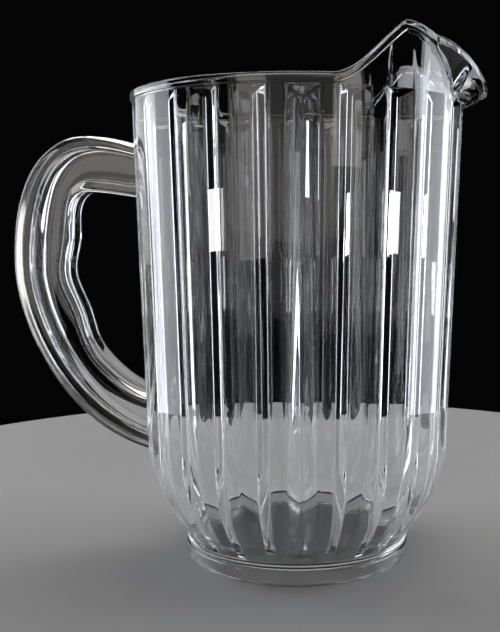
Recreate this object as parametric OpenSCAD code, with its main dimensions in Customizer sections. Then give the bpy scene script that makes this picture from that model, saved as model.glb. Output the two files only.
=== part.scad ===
// Clear moulded beer pitcher: a fluted tapered wall on a drawn-in bowl with a foot ring,
// a rim band, a horned pouring spout and an I-section handle.
// The spout points along +X, the handle along -X, and the foot stands on z = 0.

/* [Body] */
// Outside diameter of the wall where the rim band sits on it
wall_top_d = 131.4; // [120:0.1:140]
// Outside diameter of the wall at the shoulder
shoulder_d = 123.3; // [112:0.1:128]
// Height of the shoulder, where the straight wall turns into the bowl
shoulder_z = 47; // [40:0.5:60]
// Height of the level rim above the table
rim_z = 185.5; // [180:0.5:200]
// Thickness of the moulded wall
wall_t = 3; // [2:0.1:4]
// Thickness of the floor
floor_t = 3.2; // [2:0.1:5]

/* [Foot] */
// Outside diameter of the waist above the foot
waist_d = 91.8; // [84:0.1:98]
// Radius of the hollow curve between the waist and the shoulder
waist_r = 12; // [9:0.5:16]
// How far the foot ring stands out from the waist
foot_step = 0.4; // [0.2:0.1:1.5]
// Height of the foot ring
foot_h = 5.5; // [4:0.1:8]
// Radial width of the foot ring
foot_w = 4; // [3:0.1:7]
// Chamfer on the lower edges of the foot ring
foot_chamfer = 0.6; // [0.2:0.1:1]

/* [Flutes] */
// Number of ribs round the inside of the wall
rib_count = 22; // [18:2:26]
// Width of a rib at its root on the wall
rib_w = 11; // [7:0.5:13]
// Height of a rib, from the wall to its crest
rib_h = 3; // [1.5:0.1:4]

/* [Rim and spout] */
// Height of the rim band
band_h = 3.4; // [2:0.1:4]
// How far the rim band stands out from the wall
band_step = 0.5; // [0.3:0.1:1.2]
// Rounding of the band's and the lip's top edge
edge_r = 0.8; // [0.4:0.1:1.2]
// Thickness of the lip and the band along their top
lip_t = 2.6; // [2:0.1:3]
// Number of ribs that the spout spans, from ramp foot to ramp foot
spout_ribs = 9; // [9:2:11]
// Number of ribs from the middle of the spout to each horn
horn_ribs = 3; // [2:1:3]
// How far the two horns rise above the level rim
horn_rise = 18.9; // [12:0.1:30]
// How far the lip's edge at the middle of the spout lies above the level rim
lip_rise = 1.7; // [0.5:0.1:8]
// Distance of the lip's edge from the axis at the middle of the spout
lip_reach = 74.8; // [70:0.1:84]
// How far below the level rim the beak's underside leaves the wall
flare_drop = 5.5; // [4.5:0.1:20]
// Width of the beak across the wall at its foot, where its underside is level
fold_w = 51; // [30:0.5:60]
// Width of the beak along the lip, where its edge leaves the round of the wall
beak_w = 76; // [66:0.5:90]
// Rounding of the fold between the wall and the beak's underside
fold_r = 3; // [1:0.1:4]

/* [Handle] */
// Distance of the handle's outermost point from the axis
handle_reach = 118.6; // [110:0.1:130]
// Height of that outermost point
handle_reach_z = 118; // [110:0.5:125]
// Distance of the handle's crown from the axis
crown_reach = 86.5; // [82:0.5:92]
// Height of the handle's crown
crown_z = 170.5; // [160:0.5:176]
// How much lower the handle's upper edge meets the wall than its crown
crown_drop = 3.8; // [0:0.1:8]
// How much lower the finger edge meets the wall than it runs under the crown
finger_drop = 2.7; // [0:0.1:6]
// Height at which the handle's lower edge meets the wall
heel_z = 40; // [36:0.5:46]
// Depth of the handle under its crown, from the outer edge to the finger edge
arm_depth = 22.5; // [19:0.1:26]
// Depth of the handle at its grip
grip_depth = 23.6; // [20:0.1:27]
// Depth of the handle where it runs into the wall at the bottom
heel_depth = 25.5; // [22:0.1:29]
// Width of the handle across both rails
handle_w = 16; // [12:0.1:22]
// Thickness of the outer rail along the grip
outer_rail = 7.5; // [6:0.1:9]
// Thickness of the outer rail along the upper arm
arm_rail = 4.2; // [3.5:0.1:7]
// Thickness of the finger rail
finger_rail = 4; // [3:0.1:5]
// Thickness of the web between the rails
web_t = 3.6; // [2:0.1:6]
// Rounding of the outer rail's edges
outer_round = 3; // [1:0.1:3.4]
// Rounding of the finger rail's edges
finger_round = 1.6; // [0.8:0.1:2.4]
// How far the finger edge waves to each side
finger_wave = 1.1; // [0:0.1:2]
// Distance from one finger crest to the next
finger_pitch = 31.5; // [26:0.5:40]
// Height of the upper finger crest
finger_z = 130; // [126:1:135]

/* [Hidden] */
$fn = 128;

clear = [0.86, 0.89, 0.92, 0.35];

// Straight wall: radii, slope and the levels that divide it
wall_top_r = wall_top_d / 2;
shoulder_r = shoulder_d / 2;
band_z = rim_z - band_h;
wall_slope = atan((wall_top_r - shoulder_r) / (band_z - shoulder_z));
split_land = 1;
split_z = shoulder_z + split_land;

// Bowl: a hollow arc rises from the waist and runs tangent into the shoulder's round arc
waist_rad = waist_d / 2;
floor_z = foot_h + floor_t;
ogee_x = waist_rad + waist_r - shoulder_r;
ogee_z = shoulder_z - foot_h;
bowl_r = (ogee_x * ogee_x + ogee_z * ogee_z - waist_r * waist_r)
    / (2 * (waist_r - ogee_x * cos(wall_slope) - ogee_z * sin(wall_slope)));
bowl_centre = [shoulder_r - bowl_r * cos(wall_slope), shoulder_z + bowl_r * sin(wall_slope)];
waist_centre = [waist_rad + waist_r, foot_h];
join_angle = atan2(bowl_centre[1] - waist_centre[1], waist_centre[0] - bowl_centre[0]);
waist_steps = 5;
bowl_steps = 8;
shoulder_row = waist_steps + bowl_steps;

// Flutes
pitch = 360 / rib_count;
rib_share = asin(rib_w / 2 / (wall_top_r - wall_t)) / pitch;
rib_columns = [[-0.5, 0], [-rib_share, 0], [0, rib_h], [rib_share, 0]];
core_lift = 3;

// Spout: its levels, half angles of its span and of its horns, and the shares of a pitch where it is cut
horn_z = rim_z + horn_rise;
lip_z = rim_z + lip_rise;
flare_z = rim_z - flare_drop;
seat_land = 2;
seat_z = min(flare_z, band_z - rib_h) - seat_land;
inner_lift = flare_drop - band_h;
span = spout_ribs * pitch / 2;
horn = horn_ribs * pitch;
fold = asin(fold_w / 2 / wall_top_r);
beak = asin(beak_w / 2 / wall_top_r);
spout_cuts = [-0.5, -0.42, -rib_share, -rib_share / 2, 0, rib_share / 2, rib_share, 0.42];
fold_fullness = 1.8;
beak_fullness = 0.6;
ramp_fullness = 2.05;
rib_seam = 0.02;

// Handle
root_sink = 1.5;
handle_steps = 14;
wave_top = crown_z - arm_depth - 2;
wave_bottom = heel_z + heel_depth + 2;
grip_draft = 3;
arm_draft = 1;
finger_draft = 0.8;
finger_reach_lift = 4;

// Pulls of the handle's curves: at its root, to and from its crown, to and from its reach, at its heel
outer_pulls = [[-6, 1.7], [9, 0], [-20, 0], [0, 32.5], [0, -24], [-40, 9.5]];
finger_pulls = [[-6, 1], [7, 0], [-7.3, 0], [0.8, 12.3], [-1.1, -16.5], [-24, 5]];

// Radius of the wall's outside at a height, moved in by an inset square to the wall
function wall_r(z, inset = 0) =
    shoulder_r + (z - shoulder_z) * tan(wall_slope) - inset / cos(wall_slope);

// Bowl profile from a low level up to the shoulder, moved in by an inset
function bowl_profile(inset, low_z) =
    let (start = asin((low_z - foot_h) / (waist_r + inset)))
    concat(
        [for (i = [0 : waist_steps])
            let (a = start + (join_angle - start) * i / waist_steps)
            waist_centre + (waist_r + inset) * [-cos(a), sin(a)]],
        [for (i = [1 : bowl_steps])
            let (a = join_angle + (wall_slope - join_angle) * i / bowl_steps)
            bowl_centre + (bowl_r - inset) * [cos(a), -sin(a)]]);

// Height of a rib at an angle from the middle of the spout
function rib_at(angle) =
    let (turn = abs(angle / pitch - round(angle / pitch)))
    rib_h * max(0, 1 - turn / rib_share);

// One column of the inside of the vessel, from the floor to above the rim.
// A rib's upper end slopes back into the wall just under the rim band.
function core_column(rib) = concat(
    bowl_profile(wall_t + rib, floor_z),
    [for (z = [split_z + core_lift, band_z - rib_h]) [wall_r(z, wall_t + rib), z]],
    [for (z = [band_z, rim_z + core_lift]) [wall_r(z, wall_t), z]]);

function polar(r, angle, z) = [r * cos(angle), r * sin(angle), z];

// Closed skin over rings of equal length: the sides, then both end caps
function loft_faces(rings, size) = concat(
    [for (i = [0 : rings - 2], j = [0 : size - 1])
        let (
            a = i * size + j,
            b = i * size + (j + 1) % size)
        each [[a, b, b + size], [a, b + size, a + size]]],
    [[for (j = [size - 1 : -1 : 0]) j]],
    [[for (j = [0 : size - 1]) (rings - 1) * size + j]]);

// The inside of the vessel as a solid, between two of its rows
module flute_core(first, last) {
    columns = [for (k = [0 : rib_count - 1], c = rib_columns)
        [(k + c[0]) * pitch, core_column(c[1])]];
    points = [for (row = [last : -1 : first], c = columns)
        polar(c[1][row][0], c[0], c[1][row][1])];
    polyhedron(points, loft_faces(last - first + 1, len(columns)));
}

// Wedge round the axis, as wide as the spout, from its seat up
module spout_sector() {
    far = lip_reach + handle_reach;
    translate([0, 0, seat_z])
        linear_extrude(horn_z - seat_z)
            polygon([
                [0, 0],
                far * [cos(span), -sin(span)],
                far * [1, -1],
                far * [1, 1],
                far * [cos(span), sin(span)]]);
}

// Everything inside the outer surface of the bowl and the wall, up to a level on the wall
module body_envelope(top_z) {
    rotate_extrude()
        polygon(concat(
            [[0, foot_h]],
            bowl_profile(0, foot_h),
            [[wall_r(top_z), top_z], [0, top_z]]));
}

module vessel_wall() {
    color(clear)
        difference() {
            rotate_extrude()
                polygon([
                    [waist_rad / 2, split_z],
                    [wall_r(split_z), split_z],
                    [wall_r(band_z), band_z],
                    [waist_rad / 2, band_z]]);
            flute_core(shoulder_row, shoulder_row + 4);
            spout_sector();
        }
}

module base_bowl() {
    color(clear)
        difference() {
            body_envelope(split_z);
            flute_core(0, shoulder_row + 1);
        }
}

module foot_ring() {
    outer = waist_rad + foot_step;
    inner = outer - foot_w;
    color(clear)
        rotate_extrude()
            polygon([
                [inner + foot_chamfer, 0],
                [outer - foot_chamfer, 0],
                [outer, foot_chamfer],
                [outer, foot_h - foot_step],
                [waist_rad, foot_h],
                [inner, foot_h],
                [inner, foot_chamfer]]);
}

// Top edge of the band or lip, from its lower outer corner to its inner top corner
function band_profile(r, z, base_z) = [
    [r, base_z],
    [r, z - edge_r],
    [r - edge_r * (1 - cos(45)), z - edge_r * (1 - sin(45))],
    [r - edge_r, z],
    [r - lip_t, z]];

module rim_band() {
    color(clear)
        rotate([0, 0, span])
            rotate_extrude(angle = 360 - 2 * span)
                polygon(concat(
                    [[wall_r(band_z, wall_t), band_z], [wall_r(band_z), band_z]],
                    band_profile(wall_r(rim_z) + band_step, rim_z, band_z + band_step),
                    [[wall_r(rim_z, wall_t), rim_z - edge_r]]));
}

// Rise of the ramp up to a horn, and a soft rise from level to level, both from 0 to 1
function ramp(t) = t * t * (ramp_fullness + (1 - ramp_fullness) * t);
function ease(t) = t * t * (3 - 2 * t);

// Height of the spout's edge at an angle from its middle
function edge_z(angle) = abs(angle) < horn
    ? lip_z + (horn_z - lip_z) * ease(abs(angle) / horn)
    : rim_z + (horn_z - rim_z) * ramp((span - abs(angle)) / (span - horn));

// Distance of that edge from the axis: the beak leaves the round of the wall and reaches out
function edge_reach(angle) =
    let (
        straight = wall_r(edge_z(angle)) + band_step,
        share = pow(max(0, 1 - pow(angle / beak, 2)), beak_fullness))
    straight + (lip_reach - straight) * share;

// Height of the fold at which the beak leaves the wall: level at its foot, then up to the horns
function fold_z(angle) =
    let (
        top = min(edge_z(angle), horn_z) - band_h,
        u = max(0, min(1, (abs(angle) - fold) / (horn - fold))),
        rise = pow(1 - pow(1 - u, fold_fullness), 1 / fold_fullness))
    min(top, flare_z + (horn_z - band_h - flare_z) * rise);

// Rounded turn at a corner between two straight runs
function turn(before, corner, after) =
    let (
        a = (before - corner) / norm(before - corner),
        b = (after - corner) / norm(after - corner),
        half = acos(a * b) / 2,
        leg = min(fold_r / tan(half), norm(after - corner) / 3),
        middle = corner + (a + b) * leg / 4)
    [corner + a * leg, middle, corner + b * leg];

// Cut through the spout at an angle, as radius and height
function spout_cut(angle) =
    let (
        rib = rib_at(angle),
        top = edge_z(angle),
        crease = fold_z(angle),
        edge = edge_reach(angle),
        seat = [wall_r(seat_z), seat_z],
        lip_low = [edge, top - band_h + band_step],
        inner_z = min(max(band_z, crease + inner_lift), top - edge_r))
    concat(
        [[wall_r(seat_z, wall_t + rib), seat_z], seat],
        turn(seat, [wall_r(crease), crease], lip_low),
        band_profile(edge, top, lip_low[1]),
        [[wall_r(inner_z, wall_t), inner_z]],
        [[wall_r(band_z, wall_t), band_z - rib_seam]],
        [[wall_r(band_z - rib, wall_t + rib), band_z - rib - 2 * rib_seam]]);

module pouring_spout() {
    middle = (spout_ribs - 1) / 2;
    angles = concat(
        [for (k = [-middle : middle], c = spout_cuts) (k + c) * pitch],
        [span]);
    cuts = [for (a = angles) [for (p = spout_cut(a)) polar(p[0], a, p[1])]];
    color(clear)
        polyhedron([for (c = cuts) each c], loft_faces(len(cuts), len(cuts[0])));
}

// Point on a cubic curve from p[0] to p[3]
function curve(p, t) = pow(1 - t, 3) * p[0] + 3 * t * pow(1 - t, 2) * p[1]
    + 3 * t * t * (1 - t) * p[2] + pow(t, 3) * p[3];

// Points along three curves that join a root, a crown, a reach and a heel
function chain(root, crown, reach, heel, pulls) =
    let (curves = [
        [root, root + pulls[0], crown + pulls[1], crown],
        [crown, crown + pulls[2], reach + pulls[3], reach],
        [reach, reach + pulls[4], heel + pulls[5], heel]])
    concat([root], [for (c = curves, i = [1 : handle_steps]) curve(c, i / handle_steps)]);

// Finger waves fade out towards both ends of the grip
function wave(z) =
    let (share = max(0, min(1, (z - wave_bottom) / (wave_top - wave_bottom))))
    finger_wave * sqrt(sin(180 * share)) * cos(360 * (z - finger_z) / finger_pitch);

// Edges of the handle in its own plane, as x and z: over the crown, down the grip, into the heel
function outer_edge() =
    let (
        root = [-wall_r(crown_z) + root_sink, crown_z - crown_drop],
        crown = [-crown_reach, crown_z],
        reach = [-handle_reach, handle_reach_z],
        heel = [-wall_r(heel_z) + root_sink, heel_z])
    chain(root, crown, reach, heel, outer_pulls);

function finger_edge() =
    let (
        root_z = crown_z - arm_depth - finger_drop,
        heel_top = heel_z + heel_depth,
        root = [-wall_r(root_z) + root_sink, root_z],
        crown = [-crown_reach, crown_z - arm_depth],
        reach = [-handle_reach + grip_depth, handle_reach_z + finger_reach_lift],
        heel = [-wall_r(heel_top) + root_sink, heel_top])
    [for (p = chain(root, crown, reach, heel, finger_pulls)) p + [wave(p[1]), 0]];

// Rounded edge of a rail: a quarter turn from its side to its face
function quarter(r, steps = 3) =
    [for (i = [0 : steps]) r * [1 - sin(90 * i / steps), 1 - cos(90 * i / steps)]];

// I-section of a given depth: distance from the finger edge, and distance from the middle plane.
// Along the grip the outer rail is thick and runs into the web with a wide slope.
function rail_section(depth, grip) =
    let (
        half = handle_w / 2,
        rail = arm_rail + (outer_rail - arm_rail) * grip,
        draft = arm_draft + (grip_draft - arm_draft) * grip,
        upper = concat(
            [for (p = quarter(finger_round)) [p[1], half - p[0]]],
            [[finger_rail, half], [finger_rail + finger_draft, web_t / 2]],
            [[depth - rail - draft, web_t / 2], [depth - rail, half]],
            [for (p = quarter(outer_round)) [depth - p[0], half - p[1]]]))
    concat(upper, [for (i = [len(upper) - 1 : -1 : 0]) [upper[i][0], -upper[i][1]]]);

module handle() {
    outer = outer_edge();
    finger = finger_edge();
    rings = [for (i = [0 : len(outer) - 1])
        let (
            across = outer[i] - finger[i],
            depth = norm(across),
            u = across / depth,
            grip = ease(max(0, min(1, i / handle_steps - 0.8))))
        [for (p = rail_section(depth, grip))
            [finger[i][0] + u[0] * p[0], p[1], finger[i][1] + u[1] * p[0]]]];
    color(clear)
        difference() {
            polyhedron([for (r = rings) each r], loft_faces(len(rings), len(rings[0])));
            body_envelope(rim_z);
        }
}

vessel_wall();
base_bowl();
foot_ring();
rim_band();
pouring_spout();
handle();
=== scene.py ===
# %% [markdown]
# # A clear beer pitcher
# The pitcher is one clear plastic moulding. What the eye sees of it is almost only light bent by
# its ribs and edges, so the lesson is about building a true skin and lighting it from the sides.
# The imported CAD part is loaded first. It fixes every size.

# %% Load the CAD part
import math

import bmesh
import bpy
import numpy as np
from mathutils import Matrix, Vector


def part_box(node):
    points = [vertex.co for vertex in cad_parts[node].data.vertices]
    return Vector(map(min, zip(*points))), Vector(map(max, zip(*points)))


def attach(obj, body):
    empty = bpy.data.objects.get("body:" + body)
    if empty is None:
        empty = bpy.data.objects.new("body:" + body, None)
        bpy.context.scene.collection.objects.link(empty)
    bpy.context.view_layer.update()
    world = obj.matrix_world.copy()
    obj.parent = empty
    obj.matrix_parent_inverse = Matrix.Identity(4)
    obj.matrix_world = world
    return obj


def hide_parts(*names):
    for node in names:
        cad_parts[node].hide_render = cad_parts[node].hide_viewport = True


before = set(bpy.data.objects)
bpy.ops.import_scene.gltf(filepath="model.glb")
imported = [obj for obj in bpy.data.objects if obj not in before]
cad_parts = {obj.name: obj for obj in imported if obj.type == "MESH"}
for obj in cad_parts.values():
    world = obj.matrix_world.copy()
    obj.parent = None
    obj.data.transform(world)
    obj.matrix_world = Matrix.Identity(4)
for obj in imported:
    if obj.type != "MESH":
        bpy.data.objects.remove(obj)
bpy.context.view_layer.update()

# %% [markdown]
# ## Sizes
# The same few measures drive the CAD part and this skin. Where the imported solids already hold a
# measure, it is read from their boxes, so that the two can't drift apart. Only the ribs stand a
# little taller here than in the solids: at this height their bright lines fall in the right places.

# %% Sizes of the moulding
mm = 0.001

FOOT_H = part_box("foot_ring")[1][2]
FOOT_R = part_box("foot_ring")[1][0]
FOOT_W = 4 * mm
FOOT_EDGE = 0.6 * mm
WAIST_R = FOOT_R - 0.4 * mm
WAIST_CURVE = 12 * mm
FLOOR_Z = FOOT_H + 3.2 * mm
SHOULDER_R = 61.65 * mm
SHOULDER_Z = 47 * mm
RIM_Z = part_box("rim_band")[1][2]
BAND_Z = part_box("rim_band")[0][2]
WALL_TOP_R = 65.7 * mm
WALL_T = 3 * mm
SLOPE = math.atan((WALL_TOP_R - SHOULDER_R) / (BAND_Z - SHOULDER_Z))

RIBS = 22
PITCH = 2 * math.pi / RIBS
RIB_H = 3.7 * mm
RIB_END = 3.3 * mm
RIB_FADE = 0.3
RIB_HALF = 5.5 * mm / (WALL_TOP_R - WALL_T) / PITCH
print("wall leans out by", round(math.degrees(SLOPE), 2), "degrees")
print("a rib takes", round(2 * RIB_HALF, 2), "of a pitch")

# %% [markdown]
# ## The bowl's outline
# Under the straight wall the body draws in to its foot along an S: a round arc, then a hollow one,
# tangent to each other. A bezier could be drawn by eye, but two arcs are what a mould maker cuts,
# and an arc can be moved inwards by the wall's thickness just by changing its radius.

# %% Arcs of the bowl
run_x = WAIST_R + WAIST_CURVE - SHOULDER_R
run_z = SHOULDER_Z - FOOT_H
BOWL_CURVE = (run_x**2 + run_z**2 - WAIST_CURVE**2) / (
    2 * (WAIST_CURVE - run_x * math.cos(SLOPE) - run_z * math.sin(SLOPE))
)
bowl_centre = np.array(
    [SHOULDER_R - BOWL_CURVE * math.cos(SLOPE), SHOULDER_Z + BOWL_CURVE * math.sin(SLOPE)]
)
waist_centre = np.array([WAIST_R + WAIST_CURVE, FOOT_H])
JOIN = math.atan2(bowl_centre[1] - waist_centre[1], waist_centre[0] - bowl_centre[0])
print("bowl arc", round(BOWL_CURVE / mm, 1), "mm, steepest at", round(math.degrees(JOIN), 1), "degrees")


def wall_r(z, inset=0.0):
    """Radius of the straight wall at a height, moved in square to the wall."""
    return SHOULDER_R + (z - SHOULDER_Z) * math.tan(SLOPE) - inset / math.cos(SLOPE)


def bowl_outline(inset, low_z, rib=0.0, waist_steps=12, bowl_steps=22):
    """Points (radius, height) from a low level up to the shoulder, moved in by an inset and a rib."""
    share = RIB_FADE + (1 - RIB_FADE) * np.linspace(0, 1, waist_steps + bowl_steps) ** 2
    depth = inset + rib * share
    start = math.asin((low_z - FOOT_H) / (WAIST_CURVE + depth[0]))
    hollow = [
        waist_centre + (WAIST_CURVE + d) * np.array([-math.cos(a), math.sin(a)])
        for a, d in zip(np.linspace(start, JOIN, waist_steps), depth)
    ]
    belly = [
        bowl_centre + (BOWL_CURVE - d) * np.array([math.cos(a), -math.sin(a)])
        for a, d in zip(np.linspace(JOIN, SLOPE, bowl_steps + 1)[1:], depth[waist_steps:])
    ]
    return [tuple(p) for p in hollow + belly]


# %% [markdown]
# ## Ribs
# The outside of the wall is smooth. Inside, sharp ribs with flats between them run from the floor
# to just under the rim. Each one works as a prism and shows as a grey bar with a bright edge. A rib
# is a height added to the wall at an angle, and it fades in the bowl, where the ribs crowd together.
# Its crest and roots are eased by a hair, as a polished mould leaves them.

# %% Rib height round the wall
CREST_EASE = 0.02
ROOT_EASE = 0.05


def rib_height(angle):
    """Height of the rib at an angle from the middle of the spout."""
    turn = abs(angle / PITCH - round(angle / PITCH))
    rise = 1 - (math.hypot(turn, CREST_EASE) - CREST_EASE) / RIB_HALF
    return RIB_H * min(1.0, (rise + math.hypot(rise, ROOT_EASE)) / 2)


# columns stand close at a rib's crest and roots, as shares of a pitch from the crest
crest_side = [0, 0.012, 0.03, 0.06, 0.1, 0.15, 0.2, 0.24]
root_side = [0.27, 0.29, RIB_HALF, 0.325, 0.35, 0.4, 0.45]
half_pitch = crest_side + root_side
shares = [-0.5] + [-s for s in half_pitch[:0:-1]] + half_pitch
columns = [(k + s) * PITCH for k in range(RIBS) for s in shares]
columns = [a - 2 * math.pi if a > math.pi else a for a in columns]
print(len(columns), "columns round the body,", len(shares), "for each rib")

# %% [markdown]
# ## Rim and spout
# The rim is a level band, a little proud of the wall. At the spout it climbs to two horns. Between
# them the wall is folded out to a beak, and the fold shows as a dark stripe from each horn down.
# Sculpting would lose these crisp lines, so each angle gets its own cut from a few heights.

# %% Heights and reach of the rim, the beak and its fold
SPAN = 4.5 * PITCH
HORN = 3 * PITCH
FOLD = math.asin(51 * mm / 2 / WALL_TOP_R)
BEAK = math.asin(76 * mm / 2 / WALL_TOP_R)
HORN_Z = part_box("pouring_spout")[1][2]
LIP_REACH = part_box("pouring_spout")[1][0]
LIP_Z = RIM_Z + 1.7 * mm
FLARE_DROP = 5.5 * mm
FLARE_Z = RIM_Z - FLARE_DROP
FOLD_R = 3 * mm
KNEE_R = 1.2 * mm
BAND_STEP = 0.5 * mm
BAND_H = RIM_Z - BAND_Z
LIP_T = 2.6 * mm
EDGE_R = 0.8 * mm
FOLD_FULL = 1.8
BEAK_FULL = 0.6
RAMP_FULL = 2.05


def ease(t):
    """Soft step from 0 to 1."""
    t = min(1.0, max(0.0, t))
    return t * t * (3 - 2 * t)


def edge_z(angle):
    """Height of the rim or the spout's edge at an angle."""
    if abs(angle) < HORN:
        return LIP_Z + (HORN_Z - LIP_Z) * ease(abs(angle) / HORN)
    t = max(0.0, (SPAN - abs(angle)) / (SPAN - HORN))
    return RIM_Z + (HORN_Z - RIM_Z) * t * t * (RAMP_FULL + (1 - RAMP_FULL) * t)


def edge_reach(angle):
    """Distance of that edge from the axis: the beak leaves the round of the wall."""
    straight = wall_r(edge_z(angle)) + BAND_STEP
    share = max(0.0, 1 - (angle / BEAK) ** 2) ** BEAK_FULL
    return straight + (LIP_REACH - straight) * share


def fold_z(angle):
    """Height at which the band or the beak leaves the wall."""
    u = min(1.0, max(0.0, (abs(angle) - FOLD) / (HORN - FOLD)))
    rise = (1 - (1 - u) ** FOLD_FULL) ** (1 / FOLD_FULL)
    return min(edge_z(angle) - BAND_H, FLARE_Z + (HORN_Z - BAND_H - FLARE_Z) * rise)


for place, level in (("rim", RIM_Z), ("horns", HORN_Z), ("beak", LIP_Z)):
    print(place, "at", round(level / mm, 1), "mm")


# %% Curves for the cuts
def bend(a, b, c, steps):
    """Points on a quadratic curve from a to c that leans towards b."""
    a, b, c = map(np.array, (a, b, c))
    ts = np.linspace(0, 1, steps + 1)
    return [tuple((1 - t) ** 2 * a + 2 * t * (1 - t) * b + t * t * c) for t in ts]


def turn(before, corner, after, r, steps):
    """Rounded turn at a corner between two straight runs."""
    before, corner, after = map(np.array, (before, corner, after))
    run_in, run_out = np.linalg.norm(before - corner), np.linalg.norm(after - corner)
    a, b = (before - corner) / run_in, (after - corner) / run_out
    half = math.acos(np.clip(a @ b, -0.9999, 0.9999)) / 2
    leg = min(r / math.tan(half), run_out / 3, run_in / 3)
    return bend(corner + a * leg, corner, corner + b * leg, steps)


def arc(centre, r, start, stop, steps):
    """Points on an arc, angles in degrees."""
    return [
        (centre[0] + r * math.cos(math.radians(a)), centre[1] + r * math.sin(math.radians(a)))
        for a in np.linspace(start, stop, steps)
    ]


def run(start, stop, count):
    """Points on the way from one point to another, without its ends."""
    return [tuple(p) for p in np.linspace(start, stop, count + 2)[1:-1]]


# %% [markdown]
# ## One closed skin
# A real moulding has no faces inside it, and a light ray must not meet any. So the wall, bowl, foot,
# rim and spout are one skin: at each angle a cut runs from the middle of the underside, out, up,
# over the edge, down the ribs and across the floor, and all cuts are bridged into quads.


# %% Cut through the foot
CORNER = 0.2 * mm


def foot_cut():
    """Underside and foot ring, from the axis out to the waist."""
    inner = FOOT_R - FOOT_W
    points = [(0, FOOT_H), (inner * 0.5, FOOT_H), (inner * 0.97, FOOT_H), (inner - CORNER, FOOT_H)]
    points += [(inner, FOOT_H - CORNER), (inner, FOOT_EDGE * 1.3)]
    points += arc((inner + FOOT_EDGE, FOOT_EDGE), FOOT_EDGE, 180, 270, 5)
    points += arc((FOOT_R - FOOT_EDGE, FOOT_EDGE), FOOT_EDGE, 270, 360, 5)
    points += [(FOOT_R, FOOT_H - 0.9 * mm), (FOOT_R, FOOT_H - 0.5 * mm)]
    return points + [(FOOT_R - 0.15 * mm, FOOT_H - 0.25 * mm)]


print("the foot's cut has", len(foot_cut()), "points")

# %% Cut through the whole moulding
HAIR = 0.01 * mm
LEAST_SLOPE = 0.15 * mm
BAND_CORNER = 0.3 * mm
RIB_TOP_STEPS = (0.08, 0.35, 0.7, 0.93, 1)
FLOOR_STEPS = (0.985, 0.9, 0.6, 0.3)


def cut(angle):
    """Cut at one angle, as (radius, height) from the underside's middle to the floor's middle."""
    rib, top, edge, crease = rib_height(angle), edge_z(angle), edge_reach(angle), fold_z(angle)
    shoulder = (SHOULDER_R, SHOULDER_Z)
    lip_low = (edge, top - BAND_H + BAND_STEP)
    fold = turn(shoulder, (wall_r(crease), crease), lip_low, FOLD_R, 7)
    outside = bowl_outline(0, FOOT_H) + run(shoulder, fold[0], 8) + fold
    outside += run(fold[-1], lip_low, 3) + turn(fold[-1], lip_low, (edge, top), BAND_CORNER, 2)

    lip = [(edge, top - EDGE_R * 1.4)] + arc((edge - EDGE_R, top - EDGE_R), EDGE_R, 0, 90, 6)
    lip += arc((edge - LIP_T + 0.5 * EDGE_R, top - 0.5 * EDGE_R), 0.5 * EDGE_R, 90, 150, 4)

    inner_z = min(max(BAND_Z, crease + FLARE_DROP - BAND_H), top - EDGE_R)
    under_band = (wall_r(BAND_Z, WALL_T), BAND_Z - 2 * HAIR)
    rib_foot = (wall_r(BAND_Z - RIB_END, WALL_T), BAND_Z - RIB_END)
    knee = turn(lip[-1], (wall_r(inner_z, WALL_T), inner_z), rib_foot, KNEE_R, 5)
    knee = [(r, max(z, BAND_Z + HAIR * (6 - i))) for i, (r, z) in enumerate(knee)]
    slope = max(rib * RIB_END / RIB_H, LEAST_SLOPE)
    rib_top = [
        (wall_r(BAND_Z - slope * t, WALL_T + rib * t), BAND_Z - 4 * HAIR - slope * t)
        for t in RIB_TOP_STEPS
    ]
    bowl = bowl_outline(WALL_T, FLOOR_Z, rib)[::-1]
    inside = run(lip[-1], knee[0], 3) + knee + [under_band]
    inside += rib_top + run(rib_top[-1], bowl[0], 10) + bowl
    floor_r = bowl[-1][0]
    inside += [(floor_r * k, FLOOR_Z) for k in FLOOR_STEPS] + [(0, FLOOR_Z)]
    return foot_cut() + outside + lip + inside


cuts = [cut(a) for a in columns]
front_reach = max(r for r, z in cut(0))
print("a cut has", len(cuts[0]), "points; the front cut reaches", round(front_reach / mm, 1), "mm")


# %% Bridge the cuts into a closed mesh
def skin_of_revolution(name, cuts, angles):
    """Mesh over radial cuts of equal length whose first and last points lie on the axis."""
    n, m = len(cuts), len(cuts[0])
    verts = [(0, 0, cuts[0][0][1]), (0, 0, cuts[0][-1][1])]
    for c, a in zip(cuts, angles):
        verts += [(r * math.cos(a), r * math.sin(a), z) for r, z in c[1:-1]]
    at = lambda i, j: 2 + (i % n) * (m - 2) + (j - 1)
    faces = []
    for i in range(n):
        faces.append((0, at(i + 1, 1), at(i, 1)))
        faces.append((1, at(i, m - 2), at(i + 1, m - 2)))
        faces += [(at(i, j), at(i + 1, j), at(i + 1, j + 1), at(i, j + 1)) for j in range(1, m - 2)]
    mesh = bpy.data.meshes.new(name)
    mesh.from_pydata(verts, [], faces)
    mesh.validate()
    obj = bpy.data.objects.new(name, mesh)
    bpy.context.scene.collection.objects.link(obj)
    return obj


body = skin_of_revolution("body", cuts, columns)
print("body skin:", len(body.data.vertices), "points,", len(body.data.polygons), "faces")

# %% [markdown]
# ## Handle
# The handle is an I-beam bent into a loop: a thick outer rail, a thin wavy finger rail and a web
# between them. A bevelled curve can't change its section on the way, so the two edges are drawn as
# chains of bezier curves, and an I-section is stretched between each pair of points on them.

# %% Edges of the handle
REACH = -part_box("handle")[0][0]
REACH_Z = 118 * mm
CROWN_X = 86.5 * mm
CROWN_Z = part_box("handle")[1][2]
HEEL_Z = 40 * mm
ARM_DEPTH = 22.5 * mm
GRIP_DEPTH = 23.6 * mm
HEEL_DEPTH = 25.5 * mm
OUTER_DROP, FINGER_DROP = 3.8 * mm, 2.7 * mm
GRIP_LIFT = 4 * mm
SINK = 1.5 * mm
STEPS = 40


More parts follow.
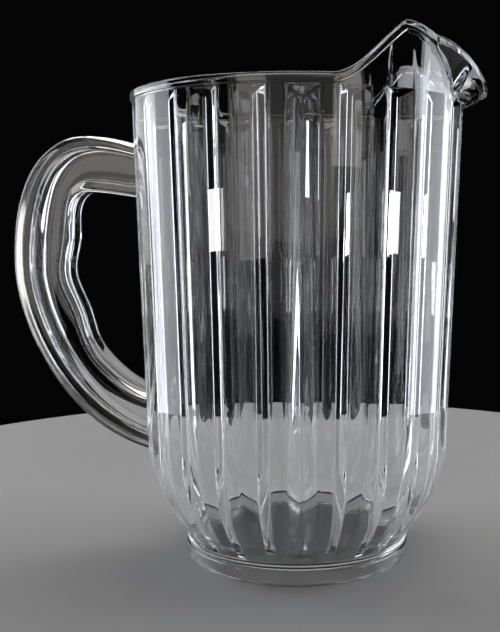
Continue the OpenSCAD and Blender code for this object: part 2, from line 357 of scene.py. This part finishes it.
def chain(curves):
    """Points along cubic curves that follow one another."""
    points = [curves[0][0]]
    for curve in curves:
        a, b, c, d = map(np.array, curve)
        for t in np.linspace(0, 1, STEPS + 1)[1:]:
            s = 1 - t
            points.append(s**3 * a + 3 * t * s**2 * b + 3 * t * t * s * c + t**3 * d)
    return np.array(points)


def loop_edge(root, crown, reach, heel, pulls):
    """One edge of the handle: pulls are the bezier handles at its four points, in mm."""
    root, crown, reach, heel = map(np.array, (root, crown, reach, heel))
    pulls = [np.array(p) * mm for p in pulls]
    return chain([
        [root, root + pulls[0], crown + pulls[1], crown],
        [crown, crown + pulls[2], reach + pulls[3], reach],
        [reach, reach + pulls[4], heel + pulls[5], heel],
    ])


def on_wall(z):
    """Point on the handle's side of the wall, sunk in a little for the weld."""
    return (-wall_r(z) + SINK, z)


outer_edge = loop_edge(
    (-wall_r(CROWN_Z) + SINK, CROWN_Z - OUTER_DROP),
    (-CROWN_X, CROWN_Z),
    (-REACH, REACH_Z),
    on_wall(HEEL_Z),
    [(-6, 1.7), (9, 0), (-20, 0), (0, 32.5), (0, -24), (-40, 9.5)],
)
finger_edge = loop_edge(
    on_wall(CROWN_Z - ARM_DEPTH - FINGER_DROP),
    (-CROWN_X, CROWN_Z - ARM_DEPTH),
    (-REACH + GRIP_DEPTH, REACH_Z + GRIP_LIFT),
    on_wall(HEEL_Z + HEEL_DEPTH),
    [(-6, 1), (7, 0), (-7.3, 0), (0.8, 12.3), (-1.1, -16.5), (-24, 5)],
)

WAVE, WAVE_PITCH, WAVE_Z, WAVE_END = 1.1 * mm, 31.5 * mm, 130 * mm, 2 * mm
wave_low, wave_high = HEEL_Z + HEEL_DEPTH + WAVE_END, CROWN_Z - ARM_DEPTH - WAVE_END
along = np.clip((finger_edge[:, 1] - wave_low) / (wave_high - wave_low), 0, 1)
fade = np.sqrt(np.sin(np.pi * along))
finger_edge[:, 0] += WAVE * fade * np.cos(2 * np.pi * (finger_edge[:, 1] - WAVE_Z) / WAVE_PITCH)
grip_depth = np.linalg.norm(outer_edge[2 * STEPS] - finger_edge[2 * STEPS])
print("handle loop:", len(outer_edge), "stations, depth at the grip", round(grip_depth / mm, 1), "mm")

# %% [markdown]
# The section itself is drawn once for half the width and mirrored. Its rails have rounded outer
# corners, and the pocket between them is drafted, so that the moulding leaves its mould.

# %% Section and skin of the handle
HALF_W = 8 * mm
FINGER_RAIL = 4 * mm
ARM_RAIL, GRIP_RAIL = 4.2 * mm, 7.5 * mm
ARM_DRAFT, GRIP_DRAFT, FINGER_DRAFT = 1 * mm, 3 * mm, 0.8 * mm
WEB_HALF = 1.8 * mm
OUTER_ROUND, FINGER_ROUND = 3 * mm, 1.6 * mm
FILLET = 0.5 * mm


def i_section(depth, grip):
    """Closed I: (distance from the finger edge, distance from the middle plane)."""
    rail = ARM_RAIL + (GRIP_RAIL - ARM_RAIL) * grip
    draft = ARM_DRAFT + (GRIP_DRAFT - ARM_DRAFT) * grip
    half = arc((FINGER_ROUND, HALF_W - FINGER_ROUND), FINGER_ROUND, 180, 90, 6)
    pocket = [
        half[-1],
        (FINGER_RAIL, HALF_W),
        (FINGER_RAIL + FINGER_DRAFT, WEB_HALF),
        (depth - rail - draft, WEB_HALF),
        (depth - rail, HALF_W),
        (depth - OUTER_ROUND, HALF_W),
    ]
    for before, corner, after in zip(pocket, pocket[1:], pocket[2:]):
        before, corner, after = map(np.array, (before, corner, after))
        a = corner + FILLET * (before - corner) / max(np.linalg.norm(before - corner), FILLET)
        b = corner + FILLET * (after - corner) / max(np.linalg.norm(after - corner), FILLET)
        half += bend(a, corner, b, 3)
    half += arc((depth - OUTER_ROUND, HALF_W - OUTER_ROUND), OUTER_ROUND, 90, 0, 8)
    return half + [(x, -y) for x, y in half[::-1]]


GRIP_START = 0.8
rings = []
for i, (outer, finger) in enumerate(zip(outer_edge, finger_edge)):
    depth = np.linalg.norm(outer - finger)
    u = (outer - finger) / depth
    section = i_section(depth, ease(i / STEPS - GRIP_START))
    rings.append([(finger[0] + u[0] * d, y, finger[1] + u[1] * d) for d, y in section])

size = len(rings[0])
faces = [
    (i * size + j, (i + 1) * size + j, (i + 1) * size + (j + 1) % size, i * size + (j + 1) % size)
    for i in range(len(rings) - 1)
    for j in range(size)
]
faces += [tuple(range(size)), tuple((len(rings) - 1) * size + j for j in range(size - 1, -1, -1))]
mesh = bpy.data.meshes.new("handle_loop")
mesh.from_pydata([p for r in rings for p in r], [], faces)
mesh.validate()
handle_loop = bpy.data.objects.new("handle_loop", mesh)
bpy.context.scene.collection.objects.link(handle_loop)
print("handle skin:", len(mesh.vertices), "points,", len(mesh.polygons), "faces")

# %% [markdown]
# ## Clear plastic
# The plastic is a colourless styrene with an index near 1.57. Index and transmission are the same
# everywhere, so they are set on the shader itself. What varies is small: polished moulds leave
# faint flow waves, which bend highlights, and use leaves a slight haze in places.


# %% Finish of the moulding
STYRENE_INDEX = 1.57
HAZE_SIZE, HAZE_DETAIL, MOST_HAZE = 55, 5, 0.03
FLOW_SIZE, FLOW_DETAIL, FLOW_STRENGTH = 30, 1, 0.008


def clear_plastic():
    """Clear finish with a slight haze and flow waves."""
    mat = bpy.data.materials.new("clear_moulding")
    mat.use_nodes = True
    nodes, links = mat.node_tree.nodes, mat.node_tree.links
    shader = nodes["Principled BSDF"]
    shader.inputs["Transmission Weight"].default_value = 1.0
    shader.inputs["IOR"].default_value = STYRENE_INDEX

    place = nodes.new("ShaderNodeTexCoord")
    haze = nodes.new("ShaderNodeTexNoise")
    haze.inputs["Scale"].default_value = HAZE_SIZE
    haze.inputs["Detail"].default_value = HAZE_DETAIL
    links.new(place.outputs["Object"], haze.inputs["Vector"])
    tint = nodes.new("ShaderNodeValToRGB")
    tint.color_ramp.elements[0].color = (0.965, 0.975, 0.99, 1)
    tint.color_ramp.elements[1].color = (1, 1, 1, 1)
    links.new(haze.outputs["Fac"], tint.inputs["Fac"])
    links.new(tint.outputs["Color"], shader.inputs["Base Color"])
    rough = nodes.new("ShaderNodeMapRange")
    rough.inputs["From Min"].default_value = 0.55
    rough.inputs["From Max"].default_value = 0.8
    rough.inputs["To Min"].default_value = 0.0
    rough.inputs["To Max"].default_value = MOST_HAZE
    links.new(haze.outputs["Fac"], rough.inputs["Value"])
    links.new(rough.outputs["Result"], shader.inputs["Roughness"])

    flow = nodes.new("ShaderNodeTexNoise")
    flow.inputs["Scale"].default_value = FLOW_SIZE
    flow.inputs["Detail"].default_value = FLOW_DETAIL
    links.new(place.outputs["Object"], flow.inputs["Vector"])
    bump = nodes.new("ShaderNodeBump")
    bump.inputs["Strength"].default_value = FLOW_STRENGTH
    bump.inputs["Distance"].default_value = 0.5 * mm
    links.new(flow.outputs["Fac"], bump.inputs["Height"])
    links.new(bump.outputs["Normal"], shader.inputs["Normal"])
    return mat


plastic = clear_plastic()
for obj in (body, handle_loop):
    obj.data.materials.append(plastic)
print("finish:", plastic.name, "with", len(plastic.node_tree.nodes), "nodes")

# %% [markdown]
# ## Weld the handle on
# Two closed skins that cross would show a false surface inside the plastic, where light turns back.
# A boolean union removes it. The handle wears a copy of the finish for a moment, so that its faces
# can be told apart, and the welded skin is then parted into two pieces along their common seam.

# %% Join the two skins, then part them at the seam
SHARP = math.radians(38)
marked = plastic.copy()
handle_loop.data.materials[0] = marked
weld = body.modifiers.new("weld", "BOOLEAN")
weld.operation = "UNION"
weld.solver = "MANIFOLD"
weld.material_mode = "TRANSFER"
weld.object = handle_loop
depsgraph = bpy.context.evaluated_depsgraph_get()
welded = bpy.data.meshes.new_from_object(body.evaluated_get(depsgraph))
mark = [m.name for m in welded.materials].index(marked.name)


def piece_of(name, keep):
    """New object from the welded skin's faces for which keep(face) holds."""
    shell = bmesh.new()
    shell.from_mesh(welded)
    bmesh.ops.delete(shell, geom=[f for f in shell.faces if not keep(f)], context="FACES")
    for f in shell.faces:
        f.material_index = 0
        f.smooth = True
    mesh = bpy.data.meshes.new(name)
    shell.to_mesh(mesh)
    shell.free()
    mesh.materials.append(plastic)
    mesh.set_sharp_from_angle(angle=SHARP)
    obj = bpy.data.objects.new(name, mesh)
    bpy.context.scene.collection.objects.link(obj)
    return obj


vessel = piece_of("vessel", lambda f: f.material_index != mark)
handle = piece_of("handle", lambda f: f.material_index == mark)
for scrap in (body, handle_loop):
    bpy.data.objects.remove(scrap)
bpy.data.materials.remove(marked)
print("vessel", len(vessel.data.polygons), "faces; handle", len(handle.data.polygons), "faces")

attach(vessel, "root")
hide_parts("vessel_wall", "base_bowl", "foot_ring", "rim_band", "pouring_spout")
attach(handle, "root")
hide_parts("handle")

# %% [markdown]
# ## Floor
# A plain pale table top carries the pitcher. Clear plastic shows whatever lies behind, and its edges
# only draw themselves in front of the dark. So the top ends behind the pitcher, and its far edge is
# the level line that shows through the wall just above the bowl.


# %% Table top
TABLE_R = 0.29
DARKER, LIGHTER = (0.42, 0.42, 0.42, 1), (0.45, 0.45, 0.45, 1)


def table_top():
    """Round pale top with a faint grain."""
    bpy.ops.mesh.primitive_circle_add(vertices=128, radius=TABLE_R, fill_type="NGON", location=(0, 0, 0))
    top = bpy.context.object
    top.name = "table_top"
    mat = bpy.data.materials.new("pale_top")
    mat.use_nodes = True
    nodes, links = mat.node_tree.nodes, mat.node_tree.links
    shader = nodes["Principled BSDF"]
    shader.inputs["Roughness"].default_value = 0.5
    grain = nodes.new("ShaderNodeTexNoise")
    grain.inputs["Scale"].default_value = 40
    tone = nodes.new("ShaderNodeValToRGB")
    tone.color_ramp.elements[0].color = DARKER
    tone.color_ramp.elements[1].color = LIGHTER
    links.new(grain.outputs["Fac"], tone.inputs["Fac"])
    links.new(tone.outputs["Color"], shader.inputs["Base Color"])
    top.data.materials.append(mat)
    return top


table_top()
print("table top laid")

# %% [markdown]
# ## Camera
# The camera stands level with the upper third and looks down a little, turned slightly towards the
# spout. The frame cuts the view off centre, which a lens shift gives without turning the camera.

# %% Camera
CAMERA_AT = (0.04151, -0.36434, 0.1382)
CAMERA_TURN = 6.5
CAMERA_DIP = 6.417
eye = bpy.data.cameras.new("camera")
eye.lens = 50.87
eye.sensor_width = 36
eye.shift_x = -0.0747
camera = bpy.data.objects.new("camera", eye)
camera.location = CAMERA_AT
camera.rotation_euler = (math.radians(90 - CAMERA_DIP), 0, math.radians(CAMERA_TURN))
bpy.context.scene.collection.objects.link(camera)
bpy.context.scene.camera = camera
print("camera", round(math.hypot(*CAMERA_AT[:2]), 3), "m from the axis")

# %% [markdown]
# ## Light
# Clear things are lit from outside the picture. Tall soft boxes stand far round to the left and
# right: the ribs and edges bend them into view as bright lines, while the flats look straight
# through to the dark. Dim panels behind the camera grey the rib faces and the handle's web, two
# small boxes leave the white windows on the wall, and a high box behind lights the table top.


# %% Soft boxes
COOL = (0.9, 0.93, 1.0)
PLAIN = (1.0, 1.0, 1.0)
WARM = (1.0, 0.97, 0.92)


def soft_box(name, around, away, width, low, high, glow, colour=PLAIN):
    """Upright area light at an angle in degrees round the pitcher from the camera.

    Lengths are in metres, low and high are heights over the table, and glow is the brightness.
    """
    data = bpy.data.lights.new(name, "AREA")
    data.shape = "RECTANGLE"
    data.size, data.size_y = width, high - low
    data.energy = glow * math.pi * width * (high - low)
    data.color = colour
    lamp = bpy.data.objects.new(name, data)
    lamp.visible_camera = False
    a = math.radians(-90 + CAMERA_TURN + around)
    lamp.location = (away * math.cos(a), away * math.sin(a), (low + high) / 2)
    lamp.rotation_euler = (math.radians(90), 0, a + math.radians(90))
    bpy.context.scene.collection.objects.link(lamp)
    return lamp


soft_box("side_left", -107, 0.9, 0.52, -0.25, 1.0, 3, COOL)
soft_box("side_left_back", -131, 0.9, 0.26, 0.16, 0.5, 2, COOL)
soft_box("side_right", 105, 0.9, 0.56, -0.25, 1.0, 3, COOL)
soft_box("front_panel", 0, 1.5, 3.0, 0.0, 1.2, 0.25, WARM)
soft_box("front_left", -29, 1.5, 0.5, -0.03, 1.0, 1.2, WARM)
soft_box("front_right", 33, 1.5, 0.5, 0.15, 0.7, 1.5, WARM)
soft_box("window_left", -56, 1.0, 0.15, 0.04, 0.127, 18)
soft_box("window_right", 67, 1.0, 0.15, 0.04, 0.127, 18)
top_back = soft_box("top_back", 180, 0.5, 1.4, 0.7, 1.2, 2.4, WARM)
top_back.rotation_euler.x = math.radians(35)

world = bpy.data.worlds.new("studio")
world.use_nodes = True
dark = world.node_tree.nodes["Background"]
dark.inputs["Color"].default_value = (0.9, 0.95, 1, 1)
dark.inputs["Strength"].default_value = 0.0015
bpy.context.scene.world = world
bpy.context.scene.view_settings.view_transform = "Standard"

# %% [markdown]
# ## Finish
# A ray crosses many walls of clear plastic on its way, and one that is cut short shows as a black
# patch, so the bounces are raised.

# %% Let light pass all walls
rays = bpy.context.scene.cycles
rays.max_bounces = 28
rays.transmission_bounces = 28
rays.glossy_bounces = 14
